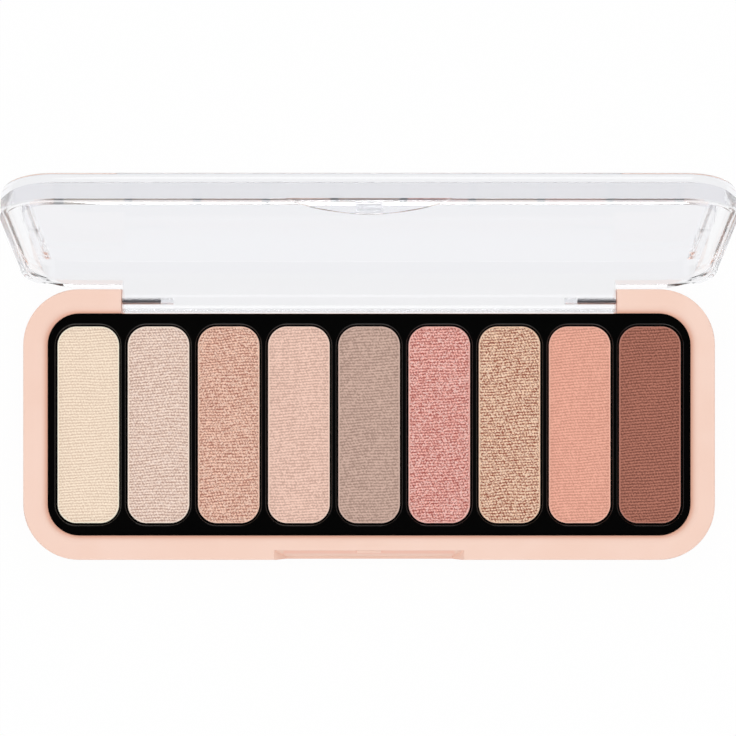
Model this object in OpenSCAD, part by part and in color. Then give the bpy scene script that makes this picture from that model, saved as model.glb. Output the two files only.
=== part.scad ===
// Slim powder palette: moulded case, insert tray, pressed pans and cakes, clear hinged lid.
// Origin at the centre of the case's underside, +X along the case, +Y to the hinge, +Z up.
// Millimetres. The lid is drawn open, resting on its stop against the back of the case.

/* [Powder cakes and pans] */
// Number of cakes side by side
cake_count = 9; // [3:1:12]
// Width of a cake
cake_w = 15.2; // [12:0.1:22]
// Length of a cake, front to back
cake_l = 48.5; // [36:0.5:60]
// Corner radius of a cake in plan
cake_r = 4.7; // [2.5:0.1:6]
// Height that a cake stands above its pan's rim
cake_rise = 0.1; // [0:0.05:0.3]
// Radius on a cake's pressed top edge
cake_edge_r = 0.3; // [0.1:0.05:0.5]
// Sheet thickness of a pan
pan_wall = 0.25; // [0.2:0.05:0.5]
// Height of a pan
pan_h = 1.5; // [1.2:0.1:2.5]

/* [Insert tray] */
// Wall of the tray between two wells
well_web = 1.2; // [1:0.1:3]
// Radius on the top edge of a well
well_edge_r = 0.3; // [0.1:0.05:0.45]
// Thickness of the floor of a well
well_floor_t = 1; // [0.8:0.1:1.5]
// Tray beyond the first and last well
tray_end = 1.85; // [1.5:0.05:5]
// Tray in front of and behind the wells
tray_side = 2.65; // [2:0.05:5]
// Distance that the wells lie towards the hinge
well_shift = -0.1; // [-0.5:0.05:0.5]
// Thickness of the tray's flange
tray_t = 1.3; // [1:0.1:2]
// Depth of the tray's face below the top of the frame
tray_sink = 1.3; // [1:0.1:2]
// Depth of a pan's rim below the tray's face
pan_sink = 1; // [0.5:0.1:1.5]
// Thickness of the tray's skirt
skirt_t = 1; // [0.8:0.1:1.4]
// Thickness of the ribs under the wells
rib_t = 0.8; // [0.6:0.1:1.2]

/* [Case] */
// Height of the case without its lid
case_h = 9.6; // [9.2:0.1:14]
// Width of the frame round the tray
frame_w = 5.9; // [5.2:0.1:8]
// Corner radius of the case in plan
corner_r = 13.7; // [11:0.1:16]
// Thickness of the case's floor
floor_t = 1.5; // [1:0.1:2]
// Width of the flat outer band of the frame's top
frame_flat = 3.7; // [2:0.1:4.2]
// Drop of the frame's top from its flat band to the tray
frame_drop = 1; // [0.3:0.1:1.2]
// Width of the ledge that carries the tray
ledge_w = 1.45; // [1:0.05:2]
// Radius on the case's top outer edge
rim_edge_r = 0.5; // [0.2:0.1:0.8]
// Radius on the case's bottom outer edge
foot_r = 1.4; // [0.5:0.1:2]

/* [Lid] */
// Height of the lid
lid_h = 7.2; // [5:0.1:9]
// Distance of the lid's sides inside the case's sides
lid_inset = 0.45; // [0:0.05:0.6]
// Thickness of the lid's plate
plate_t = 1.5; // [1:0.1:2]
// Radius on the lid's top outer edge
lid_edge_r = 2.2; // [1:0.1:3]
// Width of the lid's thick border
border_w = 5.1; // [4:0.1:5.6]
// Thickness of the lip round the rim
lip_w = 1.3; // [1:0.1:2]
// Height of the lip below the border
lip_h = 0.8; // [0.4:0.1:1.5]
// Fillet between the border and the plate
plate_fillet_r = 0.6; // [0.2:0.1:1]

/* [Hinge] */
// Angle between the closed and the open lid
open_angle = 106.0; // [95:0.1:112]
// Width of the notch in the rear frame
cutout_w = 121.9; // [60:0.5:130]
// Diameter of a hinge pin
pin_d = 1; // [0.8:0.1:1.5]
// Length of a pin inside the case
pin_in_case = 7; // [4:0.5:9]
// Length of a pin inside the lid
pin_in_lid = 9.6; // [6:0.1:12]
// Depth of the lid's bores
lid_bore_l = 12.5; // [12.2:0.1:18]
// Chamfer on a pin's ends
pin_chamfer = 0.15; // [0.05:0.05:0.25]

/* [Thumb catch] */
// Width of the lid's thumb tab at the rim
tab_w = 35.2; // [20:0.1:38]
// Height of the thumb tab below the rim
tab_h = 3.3; // [2.6:0.1:3.6]
// Thickness of the thumb tab at the rim
tab_t = 1.2; // [1:0.05:1.3]
// Thickness of the thumb tab at its tip
tab_tip_t = 0.7; // [0.5:0.05:0.75]
// Width of the snap pad inside the tab
pad_w = 5.6; // [3:0.1:8]
// Height of the snap pad
pad_h = 1.9; // [1.2:0.1:2]
// Distance of the snap pad below the rim
pad_drop = 0.6; // [0.3:0.1:1]
// Height of the snap pad above the tab's inner face
pad_t = 0.3; // [0.1:0.05:0.4]
// Width of the case's thumb scoop at its top
scoop_w = 46.7; // [42:0.1:60]
// Width of the thumb scoop at its foot
scoop_foot_w = 41; // [39:0.1:42]
// Depth of the scoop into the frame at its top
scoop_in = 2.4; // [2.2:0.1:2.7]
// Depth of the scoop into the frame at its foot
scoop_foot_in = 0.5; // [0.3:0.1:1]
// Height of the scoop
scoop_h = 4.6; // [4.2:0.1:6]
// Width of the case's catch
catch_w = 6.1; // [4:0.1:9]
// Height of the catch
catch_h = 1; // [0.5:0.1:1.5]

/* [Clearances] */
// Round a pan in its well
pan_gap = 0.2; // [0.1:0.05:0.3]
// Round the tray's flange in the frame
tray_gap = 0.1; // [0.05:0.05:0.2]
// Round the tray's skirt inside the ledge
skirt_gap = 0.15; // [0.1:0.05:0.3]
// Between the lid's rim and the frame when closed
seat_gap = 0.15; // [0.1:0.05:0.3]
// Between the open lid and the back of the case
stop_gap = 0.15; // [0.1:0.05:0.3]
// Between the lid's rear lip and the case's edge as the lid swings past it
swing_gap = 0.15; // [0.1:0.05:0.3]
// Between the hinge tongue and the notch's front wall
tongue_gap = 0.2; // [0.1:0.05:0.3]
// Between the hinge tongue and each end of the notch
end_gap = 0.25; // [0.1:0.05:0.4]
// Between a pin and its bore in the lid, on the radius
pin_gap = 0.05; // [0.02:0.01:0.1]
// Beyond a pin's end in the case
pin_end_gap = 0.3; // [0.1:0.1:0.5]
// Between the snap pad and the catch
catch_gap = 0.25; // [0.1:0.05:0.4]

/* [Hidden] */
$fn = 72;
cut = 1;                                    // how far a cutter runs past a face
bury = 0.5;                                 // how far a fused piece reaches into its neighbour

// Cakes, pans and wells, from the inside out
pan_w = cake_w + 2 * pan_wall;
pan_l = cake_l + 2 * pan_wall;
pan_r = cake_r + pan_wall;
well_w = pan_w + 2 * pan_gap;
well_l = pan_l + 2 * pan_gap;
well_r = pan_r + pan_gap;
pitch = well_w + well_web;

// Plan of the frame's opening and of the case
opening_w = (cake_count - 1) * pitch + well_w + 2 * tray_end;
opening_d = well_l + 2 * tray_side;
opening_r = corner_r - frame_w;
case_w = opening_w + 2 * frame_w;
case_d = opening_d + 2 * frame_w;
lid_w = case_w - 2 * lid_inset;
lid_d = case_d - 2 * lid_inset;
lid_corner_r = corner_r - lid_inset;

// Heights
tray_top = case_h - tray_sink;
ledge_z = tray_top - tray_t;
pan_z = tray_top - pan_sink - pan_h;
well_under = pan_z - well_floor_t;

// Slope of the frame: an arc that leaves the flat band level
slope_run = frame_w - frame_flat;
slope_r = (slope_run * slope_run + frame_drop * frame_drop) / (2 * frame_drop);

// Hinge: the axis height puts the open lid's rim just behind the case
barrel_r = (frame_w - tongue_gap) / 2;
rim_z = case_h + seat_gap;
lid_back = barrel_r - lid_inset;
rim_rise = (barrel_r + stop_gap - lid_back * cos(open_angle)) / sin(open_angle);
hinge_y = case_d / 2 - barrel_r;
hinge_z = rim_z - rim_rise;
tongue_w = cutout_w - 2 * end_gap;
pin_l = pin_in_case + pin_in_lid;
edge_reach = norm([barrel_r - rim_edge_r, case_h - rim_edge_r - hinge_z]) + rim_edge_r;

// Thumb tab: a circular segment below the rim
tab_r = (tab_w * tab_w / 4 + tab_h * tab_h) / (2 * tab_h);
catch_in = tab_t + pad_t + catch_gap;

case_colour = [0.98, 0.84, 0.77];
tray_colour = [0.05, 0.05, 0.05];
pan_colour = [0.75, 0.75, 0.77];
pin_colour = [0.6, 0.6, 0.62];
lid_colour = [0.88, 0.91, 0.95, 0.35];
cake_colours = [
    [0.97, 0.88, 0.76],                     // cream
    [0.85, 0.75, 0.70],                     // pale champagne
    [0.84, 0.67, 0.58],                     // rosy tan
    [0.90, 0.76, 0.68],                     // pale peach
    [0.69, 0.59, 0.53],                     // taupe
    [0.84, 0.53, 0.51],                     // pink
    [0.80, 0.64, 0.50],                     // bronze gold
    [0.91, 0.63, 0.53],                     // coral
    [0.60, 0.36, 0.30]                      // red brown
];

// ---- Shapes that repeat -------------------------------------------------------------------

// Rounded rectangle about the origin
module plan(w, d, r) {
    square([w, d - 2 * r], center = true);
    square([w - 2 * r, d], center = true);
    for (sx = [-1, 1], sy = [-1, 1])
        translate([sx * (w / 2 - r), sy * (d / 2 - r)]) circle(r);
}

// Flat rounded slab standing on z
module slab(w, d, r, z, h) {
    translate([0, 0, z]) linear_extrude(h) plan(w, d, r);
}

// Carries a section round a rounded rectangle.
// The section's x runs in from the outline and its y runs up.
module sweep(w, d, r) {
    for (side = [0 : 3]) {
        along = side % 2 == 0 ? w : d;
        across = side % 2 == 0 ? d : w;
        rotate([0, 0, 90 * side]) {
            translate([-(along / 2 - r), -across / 2, 0])
                rotate([90, 0, 90]) linear_extrude(along - 2 * r) children();
            translate([along / 2 - r, -(across / 2 - r), 0])
                rotate([0, 0, -90]) rotate_extrude(angle = 90)
                    translate([r, 0]) mirror([1, 0]) children();
        }
    }
}

// What is left of a square outside its quarter circle, with the square corner at the origin
// and the material towards +x and -y
module top_corner(r) {
    difference() {
        translate([-cut, -r]) square([r + cut, r + cut]);
        translate([r, -r]) circle(r);
    }
}

// Bar along X with the given section; the section's x is +Y and its y is +Z
module bar(length) {
    translate([-length / 2, 0, 0]) rotate([90, 0, 90]) linear_extrude(length) children();
}

// Places its children at the middle of well i, counted from 1 at -X
module at_well(i) {
    translate([(i - (cake_count + 1) / 2) * pitch, well_shift, 0]) children();
}

// Places its children on the hinge axis
module on_hinge() {
    translate([0, hinge_y, hinge_z]) children();
}

// ---- Case ---------------------------------------------------------------------------------

// Section of the frame and the ledge inside it
module frame_section() {
    difference() {
        square([frame_w + ledge_w, case_h]);
        translate([0, case_h]) top_corner(rim_edge_r);
        mirror([0, 1]) top_corner(foot_r);
        translate([frame_w, ledge_z]) square([ledge_w + cut, case_h]);
        difference() {
            translate([frame_flat, case_h - frame_drop]) square([slope_run + cut, frame_drop + cut]);
            translate([frame_flat, case_h - slope_r]) circle(slope_r, $fn = 360);
        }
    }
}

// Room for the hinge tongue, open to the back, the top and below
module cutout() {
    back = case_d / 2 + cut;
    front = case_d / 2 - frame_w;
    translate([-cutout_w / 2, front, -cut]) cube([cutout_w, back - front, case_h + 2 * cut]);
    translate([-cutout_w / 2, front - cut, ledge_z]) cube([cutout_w, back - front, case_h]);
}

// Scoop under the thumb tab: a sloped wall with splayed ends
module scoop() {
    foot_z = case_h - scoop_h;
    splay = (scoop_w - scoop_foot_w) / (2 * scoop_h);
    slope = (scoop_in - scoop_foot_in) / scoop_h;
    intersection() {
        translate([0, -case_d / 2 - cut, 0]) rotate([90, 0, 0]) mirror([0, 0, 1])
            linear_extrude(scoop_in + 2 * cut) polygon([
                [-scoop_foot_w / 2, foot_z], [scoop_foot_w / 2, foot_z],
                [scoop_w / 2 + splay * cut, case_h + cut], [-scoop_w / 2 - splay * cut, case_h + cut]
            ]);
        translate([0, -case_d / 2, 0]) bar(scoop_w + 2 * cut) polygon([
            [-cut, foot_z], [scoop_foot_in, foot_z],
            [scoop_in + slope * cut, case_h + cut], [-cut, case_h + cut]
        ]);
    }
}

// Catch at the head of the scoop, with its nose drawn back below
module catch() {
    translate([0, -case_d / 2, case_h - rim_edge_r]) bar(catch_w) polygon([
        [scoop_in + bury, 0], [catch_in, 0], [catch_in, -catch_h / 2],
        [scoop_in, -catch_h], [scoop_in + bury, -catch_h]
    ]);
}

module base_case() {
    color(case_colour) {
        difference() {
            union() {
                sweep(case_w, case_d, corner_r) frame_section();
                slab(opening_w, opening_d, opening_r, 0, floor_t);
            }
            cutout();
            scoop();
            for (side = [-1, 1]) on_hinge() scale([side, 1, 1]) pin_hole();
        }
        catch();
    }
}

// Blind hole for a pin in the +X end of the notch
module pin_hole() {
    translate([cutout_w / 2 - cut, 0, 0])
        rotate([0, 90, 0]) cylinder(d = pin_d, h = cut + pin_in_case + pin_end_gap);
}

// ---- Insert tray --------------------------------------------------------------------------

// Well with a rounded top edge
module well() {
    slab(well_w, well_l, well_r, pan_z, case_h);
    translate([0, 0, tray_top])
        sweep(well_w + 2 * well_edge_r, well_l + 2 * well_edge_r, well_r + well_edge_r)
            mirror([1, 0]) translate([-well_edge_r, 0]) top_corner(well_edge_r);
}

module insert_tray() {
    flange_in = 2 * tray_gap;
    skirt_in = 2 * (ledge_w + skirt_gap);
    skirt_w = opening_w - skirt_in;
    skirt_d = opening_d - skirt_in;
    skirt_r = opening_r - skirt_in / 2;
    color(tray_colour) difference() {
        union() {
            slab(opening_w - flange_in, opening_d - flange_in, opening_r - tray_gap, ledge_z, tray_t);
            slab(skirt_w, skirt_d, skirt_r, well_under, ledge_z - well_under + bury);
            translate([0, 0, floor_t]) sweep(skirt_w, skirt_d, skirt_r)
                square([skirt_t, well_under - floor_t + bury]);
            for (i = [1 : cake_count - 1])
                translate([(i - cake_count / 2) * pitch - rib_t / 2, -skirt_d / 2 + skirt_t / 2, floor_t])
                    cube([rib_t, skirt_d - skirt_t, well_under - floor_t + bury]);
        }
        for (i = [1 : cake_count]) at_well(i) well();
    }
}

// ---- Pans and powder ----------------------------------------------------------------------

module pan(i) {
    color(pan_colour) at_well(i) difference() {
        slab(pan_w, pan_l, pan_r, pan_z, pan_h);
        slab(cake_w, cake_l, cake_r, pan_z + pan_wall, pan_h);
    }
}

// Cake pressed into its pan, with a rounded top edge
module powder(i) {
    cake_z = pan_z + pan_wall;
    cake_h = pan_h - pan_wall + cake_rise;
    color(cake_colours[(i - 1) % len(cake_colours)]) at_well(i) difference() {
        slab(cake_w, cake_l, cake_r, cake_z, cake_h);
        translate([0, 0, cake_z + cake_h]) sweep(cake_w, cake_l, cake_r) top_corner(cake_edge_r);
    }
}

// ---- Lid ----------------------------------------------------------------------------------

// Section of the lid's border: lip, ledge, inner face and rounded top edge
module border_section() {
    difference() {
        square([border_w, lid_h]);
        translate([lip_w, -cut]) square([border_w, lip_h + cut]);
        translate([0, lid_h]) top_corner(lid_edge_r);
    }
    translate([border_w - bury, lid_h - plate_t + bury]) difference() {
        translate([0, -bury - plate_fillet_r]) square([bury + plate_fillet_r, bury + plate_fillet_r]);
        translate([bury + plate_fillet_r, -bury - plate_fillet_r]) circle(plate_fillet_r);
    }
}

// Barrel on the hinge axis and the web that joins it to the border
module hinge_tongue() {
    on_hinge() bar(tongue_w) {
        circle(barrel_r);
        translate([lid_back - border_w, 0]) square([border_w, rim_rise + lip_h + bury]);
    }
}

// Bore for a pin in the +X end of the tongue
module lid_bore() {
    translate([tongue_w / 2 - lid_bore_l, 0, 0])
        rotate([0, 90, 0]) cylinder(r = pin_d / 2 + pin_gap, h = lid_bore_l + cut);
}

// Hollow of the rear lip beyond the tongue's +X end, which lets the lip pass the case's edge
module swing_relief() {
    translate([tongue_w / 2, 0, 0])
        rotate([0, 90, 0]) cylinder(r = edge_reach + swing_gap, h = (case_w - tongue_w) / 2 + cut);
}

// Curved thumb tab under the front rim, thinner at its tip
module thumb_tab() {
    head = rim_z + lip_h / 2;
    tip = rim_z - tab_h;
    translate([0, -case_d / 2, 0]) {
        intersection() {
            rotate([90, 0, 0]) mirror([0, 0, 1]) linear_extrude(tab_t)
                translate([0, tip + tab_r]) circle(tab_r, $fn = 360);
            bar(tab_w + 2 * tab_t) polygon([
                [0, tip], [tab_tip_t, tip], [tab_t, rim_z], [tab_t, head], [0, head]
            ]);
        }
        snap_pad();
    }
}

// Pad on the inside of the tab that stands against the catch
module snap_pad() {
    top = rim_z - pad_drop;
    root = tab_tip_t / 2;
    bevel = pad_t + tab_t - tab_tip_t;
    bar(pad_w) polygon([
        [root, top], [tab_t, top], [tab_t + pad_t, top - pad_t],
        [tab_t + pad_t, top - pad_h + bevel], [tab_tip_t, top - pad_h], [root, top - pad_h]
    ]);
}

module closed_lid() {
    difference() {
        union() {
            translate([0, 0, rim_z]) sweep(lid_w, lid_d, lid_corner_r) border_section();
            slab(lid_w - 2 * lid_edge_r, lid_d - 2 * lid_edge_r, lid_corner_r - lid_edge_r,
                 rim_z + lid_h - plate_t, plate_t);
            hinge_tongue();
            thumb_tab();
        }
        for (side = [-1, 1]) on_hinge() scale([side, 1, 1]) {
            lid_bore();
            swing_relief();
        }
    }
}

module lid() {
    color(lid_colour) on_hinge() rotate([-open_angle, 0, 0])
        translate([0, -hinge_y, -hinge_z]) closed_lid();
}

// ---- Hinge pins ---------------------------------------------------------------------------

// side is 1 for the +X pin and -1 for the -X pin
module hinge_pin(side) {
    color(pin_colour) on_hinge() scale([side, 1, 1])
        translate([cutout_w / 2 - pin_in_lid, 0, 0]) rotate([0, 90, 0]) rotate_extrude() polygon([
            [0, 0], [pin_d / 2 - pin_chamfer, 0], [pin_d / 2, pin_chamfer],
            [pin_d / 2, pin_l - pin_chamfer], [pin_d / 2 - pin_chamfer, pin_l], [0, pin_l]
        ]);
}

// ---- Assembly -----------------------------------------------------------------------------

base_case();
insert_tray();
for (i = [1 : cake_count]) {
    pan(i);
    powder(i);
}
lid();
hinge_pin(-1);  // hinge_pin_left
hinge_pin(1);  // hinge_pin_right
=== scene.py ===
"""Looks of a slim powder palette.

A moulded case holds a glossy insert tray with nine pans of pressed powder, and a clear lid
stands open on two steel hinge pins. Each sub-assembly is a class that builds its meshes round
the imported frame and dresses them.
"""

from __future__ import annotations

import logging
import math
from dataclasses import dataclass
from enum import Enum

import bmesh
import bpy
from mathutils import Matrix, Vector, noise

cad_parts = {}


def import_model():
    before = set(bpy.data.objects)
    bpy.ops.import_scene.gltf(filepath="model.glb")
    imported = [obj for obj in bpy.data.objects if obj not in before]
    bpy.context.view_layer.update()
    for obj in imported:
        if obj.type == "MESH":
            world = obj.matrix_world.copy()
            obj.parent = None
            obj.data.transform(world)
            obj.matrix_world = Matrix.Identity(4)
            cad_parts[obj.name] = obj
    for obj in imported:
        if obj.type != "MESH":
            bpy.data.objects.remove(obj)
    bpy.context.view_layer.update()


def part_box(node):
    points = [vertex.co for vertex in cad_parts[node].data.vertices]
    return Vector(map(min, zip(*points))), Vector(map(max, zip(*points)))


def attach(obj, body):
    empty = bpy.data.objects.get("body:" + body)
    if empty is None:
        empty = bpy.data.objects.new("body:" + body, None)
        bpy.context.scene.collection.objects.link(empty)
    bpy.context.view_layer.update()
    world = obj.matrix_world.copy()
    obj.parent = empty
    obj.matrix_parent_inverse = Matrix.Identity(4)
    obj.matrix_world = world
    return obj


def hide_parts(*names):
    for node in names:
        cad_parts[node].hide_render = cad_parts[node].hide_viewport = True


LOG = logging.getLogger("palette")
MM = 0.001

JOIN_DISTANCE = 0.0005 * MM
FLAT_ANGLE = math.radians(0.2)
CREASE_ANGLE = math.radians(28.0)
FLAT_FACE_WEIGHT = 80

Colour = tuple[float, float, float]
Range = tuple[float, float]
Graded = tuple[float, float]  # a value without pearl, and what full pearl adds to it
WHITE: Colour = (1.0, 1.0, 1.0)


class Body(Enum):
    """The two bodies that the hinge joins."""

    CASE = "case"
    LID = "lid"


# ---- Shader maths ---------------------------------------------------------------------------


class Signal:
    """A shader socket that takes part in Python expressions."""

    def __init__(self, shader: Shader, socket: bpy.types.NodeSocket | None) -> None:
        """Wraps an output socket of a shader.

        Args:
            shader: The shader that owns the socket.
            socket: The output socket, or None for a node without outputs.
        """
        self.shader = shader
        self.socket = socket

    def _math(self, operation: str, first: Value, second: Value) -> Signal:
        """Adds one Math node.

        Args:
            operation: The node's operation.
            first: Its first operand.
            second: Its second operand.

        Returns:
            The result.
        """
        operands = {0: first, 1: second}
        return self.shader.add("ShaderNodeMath", {"operation": operation}, operands)

    def __add__(self, other: Value) -> Signal:
        """Returns the sum."""
        return self._math("ADD", self, other)

    __radd__ = __add__

    def __sub__(self, other: Value) -> Signal:
        """Returns the difference."""
        return self._math("SUBTRACT", self, other)

    def __rsub__(self, other: Value) -> Signal:
        """Returns the difference with this signal taken off."""
        return self._math("SUBTRACT", other, self)

    def __mul__(self, other: Value) -> Signal:
        """Returns the product."""
        return self._math("MULTIPLY", self, other)

    __rmul__ = __mul__

    def __pow__(self, other: Value) -> Signal:
        """Returns the power."""
        return self._math("POWER", self, other)

    def at_most(self, other: Value) -> Signal:
        """Returns the smaller of the two."""
        return self._math("MINIMUM", self, other)

    def at_least(self, other: Value) -> Signal:
        """Returns the larger of the two."""
        return self._math("MAXIMUM", self, other)

    def ramp(self, low: float, high: float, start: float = 0.0, end: float = 1.0) -> Signal:
        """Maps the signal smoothly from one range to another and stops at its ends.

        Args:
            low: Input that gives start.
            high: Input that gives end, which may be less than low.
            start: Output at low and before it.
            end: Output at high and beyond it.

        Returns:
            The mapped signal.
        """
        return self.shader.add(
            "ShaderNodeMapRange",
            {"interpolation_type": "SMOOTHSTEP"},
            {0: self, 1: low, 2: high, 3: start, 4: end},
        )

    def within(self, half: float, feather: float) -> Signal:
        """Returns 1 where a squared place lies within a half width.

        Args:
            half: The half width.
            feather: How far beyond it the signal takes to fall to 0.

        Returns:
            The mask.
        """
        return self.ramp(half**2, (half + feather) ** 2, 1.0, 0.0)


Value = float | Signal


class Shader:
    """The node tree of one material or world while it is put together."""

    def __init__(self, tree: bpy.types.NodeTree) -> None:
        """Starts from an empty tree.

        Args:
            tree: The tree to fill.
        """
        self.tree = tree
        tree.nodes.clear()

    def add(
        self,
        kind: str,
        settings: dict[str, object] | None = None,
        inputs: dict[int | str, object] | None = None,
        output: int | str = 0,
    ) -> Signal:
        """Adds a node of any type.

        Args:
            kind: The node's type.
            settings: Properties that are set first.
            inputs: Values or signals by socket name or number.
            output: The output to return.

        Returns:
            The chosen output.
        """
        node = self.tree.nodes.new(kind)
        for name, value in (settings or {}).items():
            setattr(node, name, value)
        for key, value in (inputs or {}).items():
            if isinstance(value, Signal):
                self.tree.links.new(value.socket, node.inputs[key])
            else:
                node.inputs[key].default_value = value
        return Signal(self, node.outputs[output] if len(node.outputs) else None)

    def coordinates(self) -> Signal:
        """Returns the object's own coordinates, in metres."""
        return self.add("ShaderNodeTexCoord", output="Object")

    def ray(self, kind: str) -> Signal:
        """Returns 1 for rays of a kind, such as Camera or Shadow, and 0 for others."""
        return self.add("ShaderNodeLightPath", output=f"Is {kind} Ray")

    def axis(self, vector: Signal, name: str) -> Signal:
        """Returns the X, Y or Z of a vector."""
        return self.add("ShaderNodeSeparateXYZ", {}, {0: vector}, name)

    def stretched(self, vector: Signal, scale: tuple[float, float, float]) -> Signal:
        """Returns a vector with each axis multiplied."""
        return self.add(
            "ShaderNodeVectorMath", {"operation": "MULTIPLY"}, {0: vector, 1: scale}
        )

    def clouds(self, vector: Signal, size: float, detail: float) -> Signal:
        """Makes soft noise between 0 and 1.

        Args:
            vector: The coordinates.
            size: The size of a cloud in metres.
            detail: How many finer layers there are.

        Returns:
            The noise.
        """
        return self.add(
            "ShaderNodeTexNoise",
            {},
            {"Vector": vector, "Scale": 1.0 / size, "Detail": detail},
            "Fac",
        )

    def flakes(self, vector: Signal, size: float) -> Signal:
        """Makes cells that each have a random grey, of about the given size in metres."""
        colour = self.add(
            "ShaderNodeTexVoronoi", {}, {"Vector": vector, "Scale": 1.0 / size}, "Color"
        )
        return self.add("ShaderNodeSeparateColor", {}, {0: colour}, 0)

    def blended(self, factor: Value, first: Colour | Signal, second: Colour | Signal) -> Signal:
        """Mixes two colours.

        Args:
            factor: 0 for the first colour, 1 for the second.
            first: One colour.
            second: The other colour.

        Returns:
            The mixed colour.
        """
        return self.add(
            "ShaderNodeMix",
            {"data_type": "RGBA"},
            {0: factor, 6: opaque(first), 7: opaque(second)},
            2,
        )

    def relief(self, height: Signal, depth: float) -> Signal:
        """Turns a height into a bent normal.

        Args:
            height: The height between 0 and 1.
            depth: The depth in metres that 1 stands for.

        Returns:
            The normal.
        """
        return self.add(
            "ShaderNodeBump", {}, {"Height": height, "Distance": depth, "Strength": 1.0}
        )

    def principled(self, constants: dict[str, object], varying: dict[str, Signal]) -> Signal:
        """Adds a Principled shader.

        Args:
            constants: Sockets that are the same all over.
            varying: Sockets that change over the surface.

        Returns:
            The shader.
        """
        return self.add("ShaderNodeBsdfPrincipled", {}, {**constants, **varying})

    def unbent(self, tint: Colour) -> Signal:
        """Adds a surface that tints rays and lets them pass straight."""
        return self.add("ShaderNodeBsdfTransparent", {}, {"Color": opaque(tint)})

    def mixed(self, factor: Value, first: Signal, second: Signal) -> Signal:
        """Mixes two shaders, all of the first at 0 and all of the second at 1."""
        return self.add("ShaderNodeMixShader", {}, {0: factor, 1: first, 2: second})

    def finish(self, surface: Signal, kind: str = "ShaderNodeOutputMaterial") -> None:
        """Connects the surface to the tree's output node."""
        self.add(kind, {}, {"Surface": surface})


def opaque(colour: Colour | Signal) -> object:
    """Returns a colour with full alpha, or the signal itself."""
    return colour if isinstance(colour, Signal) else (*colour, 1.0)


def tinted(colour: Colour, tint: Colour) -> Colour:
    """Returns a colour multiplied by a tint."""
    return tuple(a * b for a, b in zip(colour, tint))


def shaded(name: str) -> tuple[bpy.types.Material, Shader]:
    """Makes an empty node material.

    Args:
        name: The material's name.

    Returns:
        The material and its shader.
    """
    material = bpy.data.materials.new(name)
    material.use_nodes = True
    return material, Shader(material.node_tree)


# ---- Finishes -------------------------------------------------------------------------------


@dataclass(frozen=True)
class PaintedScoopShade:
    """Painted shade on the wall of the case's thumb scoop, on the case's own axes."""

    tint: Colour
    height: Range
    back: float
    front: float
    half_width: float
    foot_half_width: float
    fade: Range
    catch_half_width: float
    catch_front: float
    edge: float = 0.1 * MM
    back_edge: float = 0.4 * MM
    foot_edge: float = 1.0 * MM

    def masks(self, shader: Shader, place: Signal) -> tuple[Signal, Signal, Signal]:
        """Finds where the scoop's painted shade goes: its wall, its pale parts and the catch.

        Args:
            shader: The shader that needs the masks.
            place: The object's coordinates.

        Returns:
            1 over the wall, 1 over its foot and ends, and 1 over the catch.
        """
        edge = self.edge
        ahead = shader.axis(place, "Y")
        aside = shader.axis(place, "X") ** 2.0
        behind = ahead.ramp(self.back, self.back - self.back_edge)
        catch = aside.within(self.catch_half_width - edge, 2 * edge)
        catch = catch * ahead.ramp(self.catch_front - edge, self.catch_front + edge) * behind
        wall = shader.axis(place, "Z").ramp(*self.height) * behind
        wall = wall * ahead.ramp(self.front, self.front + edge)
        wall = wall * aside.within(self.half_width, edge) * (1.0 - catch)
        foot = self.foot_half_width
        ends = aside.ramp(foot**2, (foot + self.foot_edge) ** 2)
        return wall, ends.at_least(ahead.ramp(*self.fade)), catch


@dataclass(frozen=True)
class PaintedShade:
    """Painted shade: the case darker below its flat top, on the inner slope and the outer walls,
    and in the thumb scoop.
    """

    tint: Colour
    height: Range
    scoop: PaintedScoopShade

    def over(self, shader: Shader, place: Signal, plain: Colour, skin: Signal) -> Signal:
        """Lays painted shade on the slope, the walls and the scoop over a colour.

        Args:
            shader: The shader that needs them.
            place: The object's coordinates.
            plain: The case's plain colour, which the tints multiply.
            skin: The colour that they cover.

        Returns:
            The colour with its painted shade.
        """
        wall, pale, catch = self.scoop.masks(shader, place)
        # painted shade: darker below the flat top, except on the catch
        below = shader.axis(place, "Z").ramp(*self.height) * (1.0 - catch)
        skin = shader.blended(below, skin, tinted(plain, self.tint))
        # painted shade in the scoop, fading to the plain colour at its foot and ends
        painted_scoop_colour = shader.blended(pale, tinted(plain, self.scoop.tint), plain)
        return shader.blended(wall, skin, painted_scoop_colour)


@dataclass(frozen=True)
class MouldedPlastic:
    """Opaque injection-moulded plastic with a fine skin, and painted shade where it is given."""

    name: str
    colour: Colour
    shade: Colour
    roughness: float
    roughness_spread: float
    grain: float
    grain_depth: float
    painted_shade: PaintedShade | None = None
    grain_detail: float = 3.0
    drift_size: float = 14 * MM
    drift_detail: float = 2.0
    drift: Range = (0.3, 0.7)
    refraction: float = 1.5

    def material(self) -> bpy.types.Material:
        """Returns the finish as a material."""
        material, shader = shaded(self.name)
        place = shader.coordinates()
        drift = shader.clouds(place, self.drift_size, self.drift_detail)
        skin = shader.clouds(place, self.grain, self.grain_detail)
        colour = shader.blended(drift.ramp(*self.drift), self.colour, self.shade)
        # painted shade over the case's slope, walls and scoop, where it is given
        if self.painted_shade is not None:
            colour = self.painted_shade.over(shader, place, self.colour, colour)
        rough = skin * self.roughness_spread + (self.roughness - self.roughness_spread / 2)
        surface = shader.principled(
            {"IOR": self.refraction},
            {
                "Base Color": colour,
                "Roughness": rough,
                "Normal": shader.relief(skin, self.grain_depth),
            },
        )
        shader.finish(surface)
        return material


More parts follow.
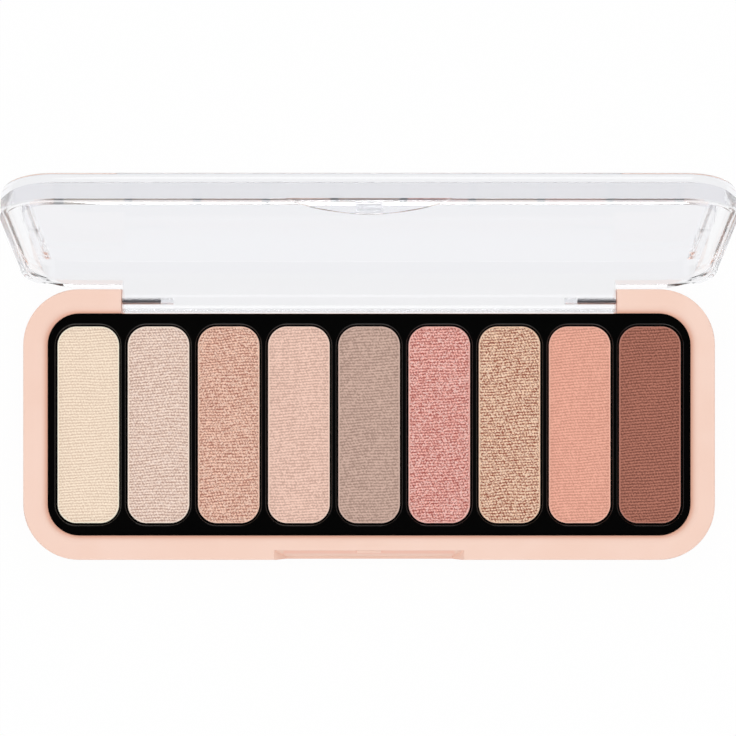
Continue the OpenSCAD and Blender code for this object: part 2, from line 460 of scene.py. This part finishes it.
@dataclass(frozen=True)
class SheetMetal:
    """Bare metal with fine drawing or turning lines along one axis."""

    name: str
    colour: Colour
    roughness: float
    line_stretch: tuple[float, float, float]
    line_size: float = 0.2 * MM
    line_detail: float = 3.0
    line_shade: float = 0.8
    line_depth: float = 0.004 * MM
    roughness_spread: float = 0.15
    roughness_drop: float = 0.07

    def material(self) -> bpy.types.Material:
        """Returns the finish as a material."""
        material, shader = shaded(self.name)
        along = shader.stretched(shader.coordinates(), self.line_stretch)
        lines = shader.clouds(along, self.line_size, self.line_detail)
        shade = tuple(self.line_shade * c for c in self.colour)
        rough = lines * self.roughness_spread + (self.roughness - self.roughness_drop)
        surface = shader.principled(
            {"Metallic": 1.0},
            {
                "Base Color": shader.blended(lines, self.colour, shade),
                "Roughness": rough,
                "Normal": shader.relief(lines, self.line_depth),
            },
        )
        shader.finish(surface)
        return material


@dataclass(frozen=True)
class Window:
    """The parts of the lid that rays cross unbent, on the open lid's own axes.

    They are the thin plate inside the thick border and, in part, the hinge tongue and the
    snap pad. Reach runs from the hinge up the lid and depth from the hinge to its outside.
    """

    hinge: tuple[float, float]
    lean: float
    half_width: float
    near: float
    far: float
    behind: float
    feather: float
    tongue_half_width: float
    tongue_share: float
    pad_half_width: float
    pad_depth: Range
    pad_reach: float
    pad_feather: float
    pad_share: float

    def mask(self, shader: Shader, place: Signal) -> Signal:
        """Returns 1 over the plate, 0 over the border and a share over tongue and pad.

        Args:
            shader: The shader that needs the mask.
            place: The object's coordinates.

        Returns:
            The mask.
        """
        lean = math.radians(self.lean)
        back = shader.axis(place, "Y") - self.hinge[0]
        rise = shader.axis(place, "Z") - self.hinge[1]
        reach = back * math.sin(lean) + rise * math.cos(lean)
        depth = back * math.cos(lean) - rise * math.sin(lean)
        aside = shader.axis(place, "X") ** 2.0
        inside = aside.within(self.half_width - self.feather, self.feather)
        above = reach.ramp(self.near, self.near + self.feather)
        above = above.at_least(depth.ramp(self.behind, self.behind + self.feather))
        under = reach.ramp(self.far - self.feather, self.far, 1.0, 0.0)
        tongue = reach.ramp(self.near, self.near - self.feather)
        tongue = tongue * aside.within(self.tongue_half_width, self.feather)
        edge, (shallow, deep) = self.pad_feather, self.pad_depth
        pad = aside.within(self.pad_half_width, edge) * depth.ramp(shallow - edge, shallow)
        pad = pad * reach.ramp(self.pad_reach - edge, self.pad_reach)
        pad = pad * depth.ramp(deep, deep + edge, 1.0, 0.0)
        return inside * above * under + tongue * self.tongue_share + pad * self.pad_share


@dataclass(frozen=True)
class ClearPlastic:
    """Clear moulded plastic that lets the lamps through."""

    name: str
    tint: Colour
    glass_tint: Colour
    lamp_tint: Colour
    roughness: float
    refraction: float
    plate_gloss: float
    window: Window
    flow_stretch: tuple[float, float, float] = (0.35, 1.0, 1.0)
    flow_size: float = 22 * MM
    flow_detail: float = 1.0
    flow: Range = (0.35, 0.75)

    def material(self) -> bpy.types.Material:
        """Returns the finish as a material."""
        material, shader = shaded(self.name)
        place = shader.coordinates()
        along = shader.stretched(place, self.flow_stretch)
        flow = shader.clouds(along, self.flow_size, self.flow_detail)
        glass = shader.principled(
            {
                "Base Color": opaque(self.glass_tint),
                "IOR": self.refraction,
                "Transmission Weight": 1.0,
            },
            {"Roughness": flow.ramp(*self.flow) * self.roughness},
        )
        polish = shader.principled(
            {"Base Color": opaque(WHITE), "Metallic": 1.0, "Roughness": self.roughness}, {}
        )
        leaving = shader.add("ShaderNodeNewGeometry", output="Backfacing")
        gloss = (1.0 - leaving) * self.plate_gloss
        sheet = shader.mixed(gloss, shader.unbent(self.tint), polish)
        seen = shader.mixed(self.window.mask(shader, place), glass, sheet)
        lighting = (shader.ray("Shadow") + shader.ray("Diffuse")).at_most(1.0)
        shader.finish(shader.mixed(lighting, seen, shader.unbent(self.lamp_tint)))
        return material


class Pigment(Enum):
    """How a pressed powder throws light back, as its share of pearl."""

    MATTE = 0.0
    SATIN = 0.6
    SHIMMER = 1.0

    def graded(self, chalk: float, added: float) -> float:
        """Works out a value that changes with the pearl.

        Args:
            chalk: The value of a powder without pearl.
            added: What full pearl adds to it.

        Returns:
            The value for this pigment.
        """
        return chalk + added * self.value


@dataclass(frozen=True)
class PressedPowder:
    """Pressed powder, chalky or full of pearl flakes, with painted shade in its furrows, painted
    light on its crests and rim, and painted glints on its flakes.
    """

    name: str
    colour: Colour
    pigment: Pigment
    # contrast: how far the painted shade and painted light stray from the colour
    contrast: float
    # the colour of the painted glints on pearl flakes
    painted_glint: Colour = WHITE
    contrast_gain: float = 1.3
    weak_gain: float = 1.35
    strong_drop: float = 0.55
    chalk_size: float = 0.35 * MM
    blotch_size: float = 6 * MM
    cloud_detail: float = 3.0
    flake_size: float = 0.27 * MM
    furrow: Range = (-0.16 * MM, -0.01 * MM)
    furrow_share: float = 0.8
    chalk_share: float = 0.12
    blotch_share: float = 0.08
    tone: Range = (0.2, 0.8)
    painted_glint_share: float = 0.8
    bright_flakes: Range = (0.62, 0.95)
    bright_share: float = 0.75
    dark_flakes: Range = (0.45, 0.0)
    dark_share: float = 0.5
    mirror_flakes: Range = (0.55, 1.0)
    mirror_share: float = 0.15
    # painted light on the rim: the top turns pale where it stands near its full height
    painted_edge_light: Range = (-0.025 * MM, -0.005 * MM)
    painted_edge_light_share: float = 0.8
    painted_edge_light_gain: float = 1.35
    painted_edge_light_lift: float = 0.1
    roughness: float = 0.85
    flake_polish: float = 0.4
    flake_relief: float = 0.5
    relief_depth: Graded = (0.03 * MM, 0.03 * MM)
    specular: Graded = (0.25, 0.25)
    refraction: float = 1.4

    def _shifted(self, change: float) -> Colour:
        """Returns the colour made darker for painted shade or lighter for painted light, most in
        its weak channels.
        """
        return tuple(
            min(1.0, c * (1.0 + change * (self.weak_gain - self.strong_drop * c)))
            for c in self.colour
        )

    def _colour(self, shader: Shader, chalk: Signal, blotch: Signal, below: Signal) -> Signal:
        """Works out the powder's colour with painted shade in the furrows, but without flakes
        and painted edge light.

        Args:
            shader: The shader that needs it.
            chalk: Fine clouds.
            blotch: Wide clouds.
            below: The height over the cake's top, which is less than 0 in a furrow.

        Returns:
            The colour.
        """
        # painted shade in the furrows and painted light on the crests, with random tone from the
        # clouds
        depth = below.ramp(*self.furrow)
        tone = depth * self.furrow_share + chalk * self.chalk_share + blotch * self.blotch_share
        dark = self._shifted(-self.contrast_gain * self.contrast)
        light = self._shifted(self.contrast_gain * self.contrast)
        return shader.blended(tone.ramp(*self.tone), dark, light)

    def _flaked(self, shader: Shader, colour: Signal, flake: Signal) -> Signal:
        """Scatters flakes over a colour: bright flakes are painted glints and dark flakes
        painted shade.

        Args:
            shader: The shader that needs them.
            colour: The colour under the flakes.
            flake: The grey of each flake.

        Returns:
            The colour with its flakes.
        """
        pearl, matt = self.pigment.value, 1.0 - self.painted_glint_share
        dark = self._shifted(-self.contrast_gain * self.contrast)
        light = self._shifted(self.contrast_gain * self.contrast)
        painted_glint = tuple(matt * a + self.painted_glint_share * b for a, b in zip(light, self.painted_glint))
        # painted glints on the bright flakes
        bright = flake.ramp(*self.bright_flakes) * (self.bright_share * pearl)
        colour = shader.blended(bright, colour, painted_glint)
        # painted shade on the dark flakes
        dim = flake.ramp(*self.dark_flakes) * (self.dark_share * pearl)
        return shader.blended(dim, colour, dark)

    def material(self, top: float) -> bpy.types.Material:
        """Returns the finish as a material.

        Args:
            top: The height of the cake's top, which the furrows lie below.
        """
        material, shader = shaded(self.name)
        place = shader.coordinates()
        pearl = self.pigment.value
        chalk = shader.clouds(place, self.chalk_size, self.cloud_detail)
        blotch = shader.clouds(place, self.blotch_size, self.cloud_detail)
        flake = shader.flakes(place, self.flake_size)
        below = shader.axis(place, "Z") - top
        colour = self._colour(shader, chalk, blotch, below)
        if pearl:
            colour = self._flaked(shader, colour, flake)
        # painted light on the cake's rim, where the top stands near its full height
        pale = tuple(min(1.0, self.painted_edge_light_gain * c + self.painted_edge_light_lift) for c in self.colour)
        colour = shader.blended(below.ramp(*self.painted_edge_light) * self.painted_edge_light_share, colour, pale)
        flake_height = self.flake_relief * pearl
        height = chalk * (1 - flake_height) + flake * flake_height
        surface = shader.principled(
            {"IOR": self.refraction, "Specular IOR Level": self.pigment.graded(*self.specular)},
            {
                "Base Color": colour,
                "Roughness": self.roughness - flake * (self.flake_polish * pearl),
                "Metallic": flake.ramp(*self.mirror_flakes) * (self.mirror_share * pearl),
                "Normal": shader.relief(height, self.pigment.graded(*self.relief_depth)),
            },
        )
        shader.finish(surface)
        return material


# ---- Mesh helpers ---------------------------------------------------------------------------


def placed(name: str, mesh: bpy.types.Mesh) -> bpy.types.Object:
    """Puts a mesh into the scene as an object of its own.

    Args:
        name: The object's name.
        mesh: Its mesh.

    Returns:
        The object.
    """
    piece = bpy.data.objects.new(name, mesh)
    bpy.context.scene.collection.objects.link(piece)
    return piece


def smooth_copy(node: str, name: str, body: Body) -> bpy.types.Object:
    """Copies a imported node, joins its loose triangles and shades its curves smoothly.

    Args:
        node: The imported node.
        name: The name of the new piece, which replaces the node.
        body: The body that it rides on.

    Returns:
        The new piece.
    """
    mesh = bpy.data.objects[node].data.copy()
    mesh.name = name
    mesh.materials.clear()
    work = bmesh.new()
    work.from_mesh(mesh)
    bmesh.ops.remove_doubles(work, verts=work.verts, dist=JOIN_DISTANCE)
    bmesh.ops.dissolve_degenerate(work, edges=work.edges, dist=JOIN_DISTANCE)
    bmesh.ops.dissolve_limit(work, angle_limit=FLAT_ANGLE, verts=work.verts, edges=work.edges)
    for face in work.faces:
        face.smooth = True
    for edge in work.edges:
        edge.smooth = len(edge.link_faces) == 2 and edge.calc_face_angle() < CREASE_ANGLE
    work.to_mesh(mesh)
    work.free()
    piece = placed(name, mesh)
    weights = piece.modifiers.new("flat_faces_lead", "WEIGHTED_NORMAL")
    weights.keep_sharp = True
    weights.weight = FLAT_FACE_WEIGHT
    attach(piece, body.value)
    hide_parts(node)
    return piece


def dress(piece: bpy.types.Object, material: bpy.types.Material) -> None:
    """Gives a piece its material.

    Args:
        piece: The piece.
        material: Its finish.
    """
    piece.data.materials.clear()
    piece.data.materials.append(material)


# ---- Sub-assemblies -------------------------------------------------------------------------


@dataclass
class Case:
    """The peach moulding: floor, frame, hinge cut-out, thumb scoop and catch."""

    finish: MouldedPlastic = MouldedPlastic(
        name="case_skin",
        colour=(0.945, 0.662, 0.548),
        shade=(0.96, 0.692, 0.584),
        roughness=0.34,
        roughness_spread=0.08,
        grain=0.5 * MM,
        grain_depth=0.0015 * MM,
        # painted shade: darker tints on the slope, the walls and the thumb scoop than on the
        # flat top
        painted_shade=PaintedShade(
            tint=(0.88, 0.69, 0.61),
            height=(9.57 * MM, 8.75 * MM),
            scoop=PaintedScoopShade(
                tint=(1.0, 0.78, 0.71),
                height=(9.57 * MM, 9.2 * MM),
                back=-30.1 * MM,
                front=-33.2 * MM,
                half_width=23.5 * MM,
                foot_half_width=20.5 * MM,
                fade=(-31.4 * MM, -32.5 * MM),
                catch_half_width=3.0 * MM,
                catch_front=-31.6 * MM,
            ),
        ),
    )

    def build(self) -> None:
        """Builds and dresses the case."""
        piece = smooth_copy("base_case", "case_moulding", Body.CASE)
        dress(piece, self.finish.material())


@dataclass
class Tray:
    """The glossy black insert with nine wells."""

    finish: MouldedPlastic = MouldedPlastic(
        name="tray_gloss",
        colour=(0.0008, 0.0008, 0.0008),
        shade=(0.0012, 0.0011, 0.001),
        roughness=0.16,
        roughness_spread=0.05,
        grain=0.8 * MM,
        grain_depth=0.0008 * MM,
    )

    def build(self) -> None:
        """Builds and dresses the tray."""
        piece = smooth_copy("insert_tray", "tray_moulding", Body.CASE)
        dress(piece, self.finish.material())


@dataclass
class Pans:
    """Nine pressed-metal pans."""

    count: int = 9
    finish: SheetMetal = SheetMetal(
        name="pan_tin", colour=(0.2, 0.2, 0.2), roughness=0.2, line_stretch=(1.0, 0.05, 1.0)
    )

    def build(self) -> None:
        """Builds and dresses every pan."""
        material = self.finish.material()
        for number in range(1, self.count + 1):
            piece = smooth_copy(f"pan_{number}", f"pan_sheet_{number}", Body.CASE)
            dress(piece, material)


@dataclass
class Cakes:
    """The pressed cakes, with the print of the pressing cloth on their tops."""

    corner: float = 4.7 * MM
    edge: float = 0.12 * MM
    rim: float = 0.14 * MM
    print_fade: float = 0.3 * MM
    sunk: float = 0.085 * MM
    border: float = 0.5 * MM
    edge_steps: tuple[float, ...] = (0.0, 0.02, 0.06, 0.12, 0.2, 0.3, 0.4, 0.5)
    columns: int = 76
    wall_slope: float = 0.05
    rib: float = 0.713 * MM
    rib_rows: int = 6
    rib_depth: float = 0.036 * MM
    rib_share: float = 0.72
    cloth_tilt: float = 1.9
    tilt_step: float = 0.3
    thread: float = 0.644 * MM
    thread_run: tuple[float, float] = (0.92, 0.39)
    thread_share: Graded = (0.33, 0.14)
    crossing_share: Graded = (0.2, 0.25)
    drift_size: tuple[float, float] = (8 * MM, 10 * MM)
    drift_seed: float = 3.7
    drift_share: Graded = (0.6, 0.3)
    grain_size: tuple[float, float] = (0.34 * MM, 0.28 * MM)
    grain_seed: float = 9.1
    grain_share: Graded = (1.55, -0.15)
    finishes: tuple[tuple[str, PressedPowder], ...] = (
        (
            "cream_powder",
            PressedPowder("cream", (0.869, 0.683, 0.540), Pigment.MATTE, 0.19),
        ),
        (
            "champagne_powder",
            PressedPowder(
                "champagne", (0.8, 0.555, 0.464), Pigment.SATIN, 0.34, (1.0, 0.86, 0.8)
            ),
        ),
        (
            "rose_tan_powder",
            PressedPowder(
                "rose_tan", (0.8, 0.405, 0.307), Pigment.SHIMMER, 0.43, (1.0, 0.76, 0.64)
            ),
        ),
        (
            "pale_peach_powder",
            PressedPowder("pale_peach", (0.756, 0.510, 0.421), Pigment.MATTE, 0.19),
        ),
        (
            "taupe_powder",
            PressedPowder("taupe", (0.511, 0.350, 0.289), Pigment.MATTE, 0.2),
        ),
        (
            "pink_powder",
            PressedPowder(
                "pink", (0.86, 0.307, 0.262), Pigment.SHIMMER, 0.48, (1.0, 0.74, 0.69)
            ),
        ),
        (
            "bronze_powder",
            PressedPowder(
                "bronze", (0.85, 0.385, 0.266), Pigment.SHIMMER, 0.58, (1.0, 0.78, 0.62)
            ),
        ),
        (
            "coral_powder",
            PressedPowder("coral", (0.756, 0.371, 0.280), Pigment.MATTE, 0.17),
        ),
        (
            "red_brown_powder",
            PressedPowder("red_brown", (0.338, 0.129, 0.091), Pigment.MATTE, 0.29),
        ),
    )

    def build(self) -> None:
        """Builds and dresses every cake."""
        for number, (slot, finish) in enumerate(self.finishes, 1):
            low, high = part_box(f"powder_{number}")
            piece = self._cake(f"cake_{number}", low, high, number, finish.pigment)
            dress(piece, finish.material(high.z))
            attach(piece, Body.CASE.value)
            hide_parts(f"powder_{number}")
            LOG.info("cake %d: %d faces", number, len(piece.data.polygons))

    def _stations(self, half: float, inner: int) -> list[float]:
        """Lists places across a cake, close together at its edges.

        Args:
            half: Half the size across.
            inner: How many even steps lie between the edge steps.

        Returns:
            The places from -half to half.
        """
        reach = half - self.border
        middle = [reach * (2 * i / inner - 1) for i in range(1, inner)]
        outer = [half - step * MM for step in self.edge_steps]
        return [-place for place in outer] + middle + list(reversed(outer))

    def _narrowed(self, x: float, y: float, half_w: float, half_l: float) -> float:
        """Pulls a place across the cake in where the corners narrow it.

        Args:
            x: Place across a straight-sided cake.
            y: Place along it.
            half_w: Half the cake's width.
            half_l: Half its length.

        Returns:
            The place across the rounded cake.
        """
        over = max(abs(y) - (half_l - self.corner), 0.0)
        side = half_w - self.corner + math.sqrt(max(self.corner**2 - over**2, 0.0))
        reach = half_w - self.border
        if abs(x) <= reach:
            return x * (side - self.border) / reach
        return math.copysign(side - (half_w - abs(x)), x)

    def _inset(self, x: float, y: float, half_w: float, half_l: float) -> float:
        """Returns how far a point lies inside the cake's rounded outline."""
        over_x = abs(x) - (half_w - self.corner)
        over_y = abs(y) - (half_l - self.corner)
        outside = math.hypot(max(over_x, 0.0), max(over_y, 0.0))
        return self.corner - outside - min(max(over_x, over_y), 0.0)

    def _print(self, x: float, y: float, number: int, pigment: Pigment) -> float:
        """Works out the height of the cloth's print.

        Args:
            x: Place across the cake.
            y: Place along the cake.
            number: The cake's number, which shifts the print.
            pigment: The powder's kind: pearl powders take a coarser print.

        Returns:
            The height above the cake's mean face.
        """
        tilt = math.radians(self.cloth_tilt + self.tilt_step * number)
        wide, long = self.drift_size
        seat = Vector((x / wide, y / long, self.drift_seed * number))
        drift = noise.noise(seat) * pigment.graded(*self.drift_share) * self.rib
        along = y * math.cos(tilt) - x * math.sin(tilt) + drift
        across = self.thread_run[0] * x + self.thread_run[1] * y + drift
        rib = math.sin(2 * math.pi * along / self.rib)
        thread = math.sin(2 * math.pi * across / self.thread)
        wide, long = self.grain_size
        grain = noise.noise(Vector((x / wide, y / long, self.grain_seed * number)))
        height = rib * self.rib_share + thread * pigment.graded(*self.thread_share)
        crossing = rib * thread * pigment.graded(*self.crossing_share)
        grain = grain * pigment.graded(*self.grain_share)
        return self.rib_depth * (height + crossing + grain)

    def _cake(
        self, name: str, low: Vector, high: Vector, number: int, pigment: Pigment
    ) -> bpy.types.Object:
        """Builds one cake.

        Args:
            name: The piece's name.
            low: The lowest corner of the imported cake.
            high: Its highest corner.
            number: The cake's number.
            pigment: The powder's kind.

        Returns:
            The cake.
        """
        half_w, half_l = (high.x - low.x) / 2, (high.y - low.y) / 2
        centre_x, centre_y = (high.x + low.x) / 2, (high.y + low.y) / 2
        rows = round(2 * half_l / self.rib) * self.rib_rows
        across = self._stations(half_w, self.columns)
        along = self._stations(half_l, rows)
        columns_right, rows_up = len(across) - 1, len(along) - 1
        work = bmesh.new()
        bmesh.ops.create_grid(work, x_segments=columns_right, y_segments=rows_up, size=0.5)
        for vert in work.verts:
            x = across[round((vert.co.x + 0.5) * columns_right)]
            y = along[round((vert.co.y + 0.5) * rows_up)]
            x = self._narrowed(x, y, half_w, half_l)
            inset = self._inset(x, y, half_w, half_l)
            fall = max(self.edge - max(inset, 0.0), 0.0)
            drop = self.edge - math.sqrt(max(self.edge**2 - fall**2, 0.0))
            ease = min(max((inset - self.rim) / self.print_fade, 0.0), 1.0)
            z = high.z - drop + ease * (self._print(x, y, number, pigment) - self.sunk)
            vert.co = (centre_x + x, centre_y + y, z)
        self._close(work, low.z)
        mesh = bpy.data.meshes.new(name)
        work.to_mesh(mesh)
        work.free()
        return placed(name, mesh)

    def _close(self, work: bmesh.types.BMesh, bottom: float) -> None:
        """Gives a cake's top its walls and its underside.

        Args:
            work: The cake's top.
            bottom: The height of its underside.
        """
        rim = [edge for edge in work.edges if edge.is_boundary]
        wall = bmesh.ops.extrude_edge_only(work, edges=rim)["geom"]
        for vert in (part for part in wall if isinstance(part, bmesh.types.BMVert)):
            vert.co.z = bottom
        bmesh.ops.holes_fill(work, edges=[e for e in work.edges if e.is_boundary], sides=0)
        bmesh.ops.recalc_face_normals(work, faces=work.faces)
        for face in work.faces:
            face.smooth = face.normal.z > self.wall_slope


@dataclass
class Lid:
    """The clear moulding with its thick border, hinge tongue and thumb tab."""

    finish: ClearPlastic = ClearPlastic(
        name="clear_plastic",
        tint=(0.945, 0.947, 0.96),
        glass_tint=(0.94, 0.943, 0.955),
        lamp_tint=WHITE,
        roughness=0.03,
        refraction=1.49,
        plate_gloss=0.025,
        window=Window(
            hinge=(30.4 * MM, 5.94 * MM),
            lean=16.0,
            half_width=80.0 * MM,
            near=2.2 * MM,
            far=58.6 * MM,
            behind=5.5 * MM,
            feather=1.5 * MM,
            tongue_half_width=60.0 * MM,
            tongue_share=0.64,
            pad_half_width=3.0 * MM,
            pad_depth=(1.0 * MM, 3.4 * MM),
            pad_reach=61.6 * MM,
            pad_feather=0.2 * MM,
            pad_share=0.75,
        ),
    )

    def build(self) -> None:
        """Builds and dresses the lid."""
        piece = smooth_copy("lid", "lid_moulding", Body.LID)
        dress(piece, self.finish.material())


@dataclass
class HingePins:
    """The two steel pins that carry the lid."""

    finish: SheetMetal = SheetMetal(
        name="pin_steel", colour=(0.4, 0.39, 0.4), roughness=0.3, line_stretch=(1.0, 0.1, 0.1)
    )

    def build(self) -> None:
        """Builds and dresses both pins."""
        material = self.finish.material()
        for side in ("left", "right"):
            piece = smooth_copy(f"hinge_pin_{side}", f"pin_{side}", Body.CASE)
            dress(piece, material)


# ---- Studio ---------------------------------------------------------------------------------


@dataclass(frozen=True)
class SoftBox:
    """A square soft lamp that looks at the palette."""

    name: str
    place: tuple[float, float, float]
    size: float
    power: float

    def hang(self, target: Vector) -> None:
        """Puts up the lamp.

        Args:
            target: The point that it looks at.
        """
        lamp = bpy.data.lights.new(self.name, "AREA")
        lamp.shape = "SQUARE"
        lamp.size = self.size
        lamp.energy = self.power
        holder = bpy.data.objects.new(self.name, lamp)
        holder.location = self.place
        holder.rotation_euler = (target - holder.location).to_track_quat("-Z", "Y").to_euler()
        bpy.context.scene.collection.objects.link(holder)


@dataclass
class Studio:
    """Camera, pale floor, soft lamps and a dome that is dim overhead."""

    half_view: float = 90.38 * MM
    view_plane: float = 9.6 * MM
    distance: float = 641 * MM
    clip: Range = (0.01, 20.0)
    aim: tuple[float, float] = (-0.27 * MM, 13.9 * MM)
    dome_plain: float = 0.35
    dome_zenith: float = 0.735
    dome_rise: Range = (0.3, 0.9)
    dome_fall: Range = (0.45, 0.85)
    dome_gloss: float = 1.4
    dome_gloss_side: float = 0.04
    dome_front: Range = (-0.3, -0.8)
    through_horizon: float = 0.3
    through_overhead: float = 0.12
    floor_glow: float = 0.96
    floor_size: float = 6.0
    floor_gap: float = 0.02 * MM
    floor_grey: float = 0.9
    floor_roughness: float = 0.9
    floor_distant: float = 0.2
    glow_near: float = 160 * MM
    glow_far: float = 420 * MM
    lamps: tuple[SoftBox, ...] = (
        SoftBox("front_box", (-0.1, -0.95, 0.6), 0.6, 1.5),
        SoftBox("back_box", (0.1, 0.95, 0.7), 0.6, 2.16),
        SoftBox("left_box", (-0.95, 0.05, 0.65), 0.6, 0.98),
        SoftBox("right_box", (0.95, 0.05, 0.65), 0.6, 0.78),
    )

    def build(self) -> None:
        """Sets up the whole studio."""
        self._camera()
        self._dome()
        self._floor()
        for lamp in self.lamps:
            lamp.hang(Vector((0.0, 0.0, self.view_plane)))
        bpy.context.scene.view_settings.view_transform = "Standard"

    def _camera(self) -> None:
        """Hangs the camera straight above the palette."""
        lens = bpy.data.cameras.new("overhead")
        lens.angle = 2 * math.atan(self.half_view / self.distance)
        lens.clip_start, lens.clip_end = self.clip
        camera = bpy.data.objects.new("overhead", lens)
        camera.location = (*self.aim, self.view_plane + self.distance)
        bpy.context.scene.collection.objects.link(camera)
        bpy.context.scene.camera = camera

    def _dome(self) -> None:
        """Lights the room, white to the camera and dim overhead to mirrored and bent rays."""
        world = bpy.data.worlds.new("dome")
        world.use_nodes = True
        bpy.context.scene.world = world
        shader = Shader(world.node_tree)
        direction = shader.add("ShaderNodeTexCoord", output="Generated")
        through, mirrored = shader.ray("Transmission"), shader.ray("Glossy")
        seen = shader.ray("Camera")
        height = shader.axis(direction, "Z")
        plain = height.ramp(*self.dome_rise) * self.dome_zenith + self.dome_plain
        dim = height.ramp(*self.dome_fall, 1.0, 0.0)
        clear = dim * (self.through_horizon - self.through_overhead) + self.through_overhead
        clear = (seen + through * clear).at_most(1.0)
        front = shader.axis(direction, "Y").ramp(*self.dome_front, self.dome_gloss_side, 1.0)
        reflected = mirrored * (1.0 - through) * dim * front * self.dome_gloss
        other = (1.0 - (seen + through + mirrored)).at_least(0.0)
        level = clear + reflected + other * plain
        sky = shader.add(
            "ShaderNodeBackground", {}, {"Color": opaque(WHITE), "Strength": level}
        )
        shader.finish(sky, "ShaderNodeOutputWorld")

    def _floor(self) -> None:
        """Lays the pale floor, which keeps a faint shadow."""
        work = bmesh.new()
        bmesh.ops.create_grid(work, x_segments=1, y_segments=1, size=self.floor_size / 2)
        mesh = bpy.data.meshes.new("floor")
        work.to_mesh(mesh)
        work.free()
        mesh.materials.append(self._paper())
        floor = placed("floor", mesh)
        floor.location.z = -self.floor_gap

    def _paper(self) -> bpy.types.Material:
        """Returns the floor's material, which glows white for the rays that see it."""
        material, shader = shaded("pale_floor")
        paper = shader.principled(
            {"Base Color": opaque((self.floor_grey,) * 3), "Roughness": self.floor_roughness}, {}
        )
        place = shader.coordinates()
        range_squared = shader.axis(place, "X") ** 2.0 + shader.axis(place, "Y") ** 2.0
        camera = shader.ray("Camera")
        distant = range_squared.ramp(self.glow_near**2, self.glow_far**2) * (1.0 - camera)
        colour = shader.blended(distant, WHITE, (self.floor_distant,) * 3)
        glow = shader.add("ShaderNodeEmission", {}, {"Color": colour, "Strength": 1.0})
        seen = (camera + shader.ray("Glossy") + shader.ray("Transmission")).at_most(1.0)
        shader.finish(shader.mixed(seen * self.floor_glow, paper, glow))
        return material


def main() -> None:
    """Builds the palette and its studio."""
    logging.basicConfig(level=logging.INFO, format="%(name)s: %(message)s")
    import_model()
    for part in (Case(), Tray(), Pans(), Cakes(), Lid(), HingePins(), Studio()):
        part.build()
        LOG.info("%s built", type(part).__name__)


if __name__ == "__main__":
    main()
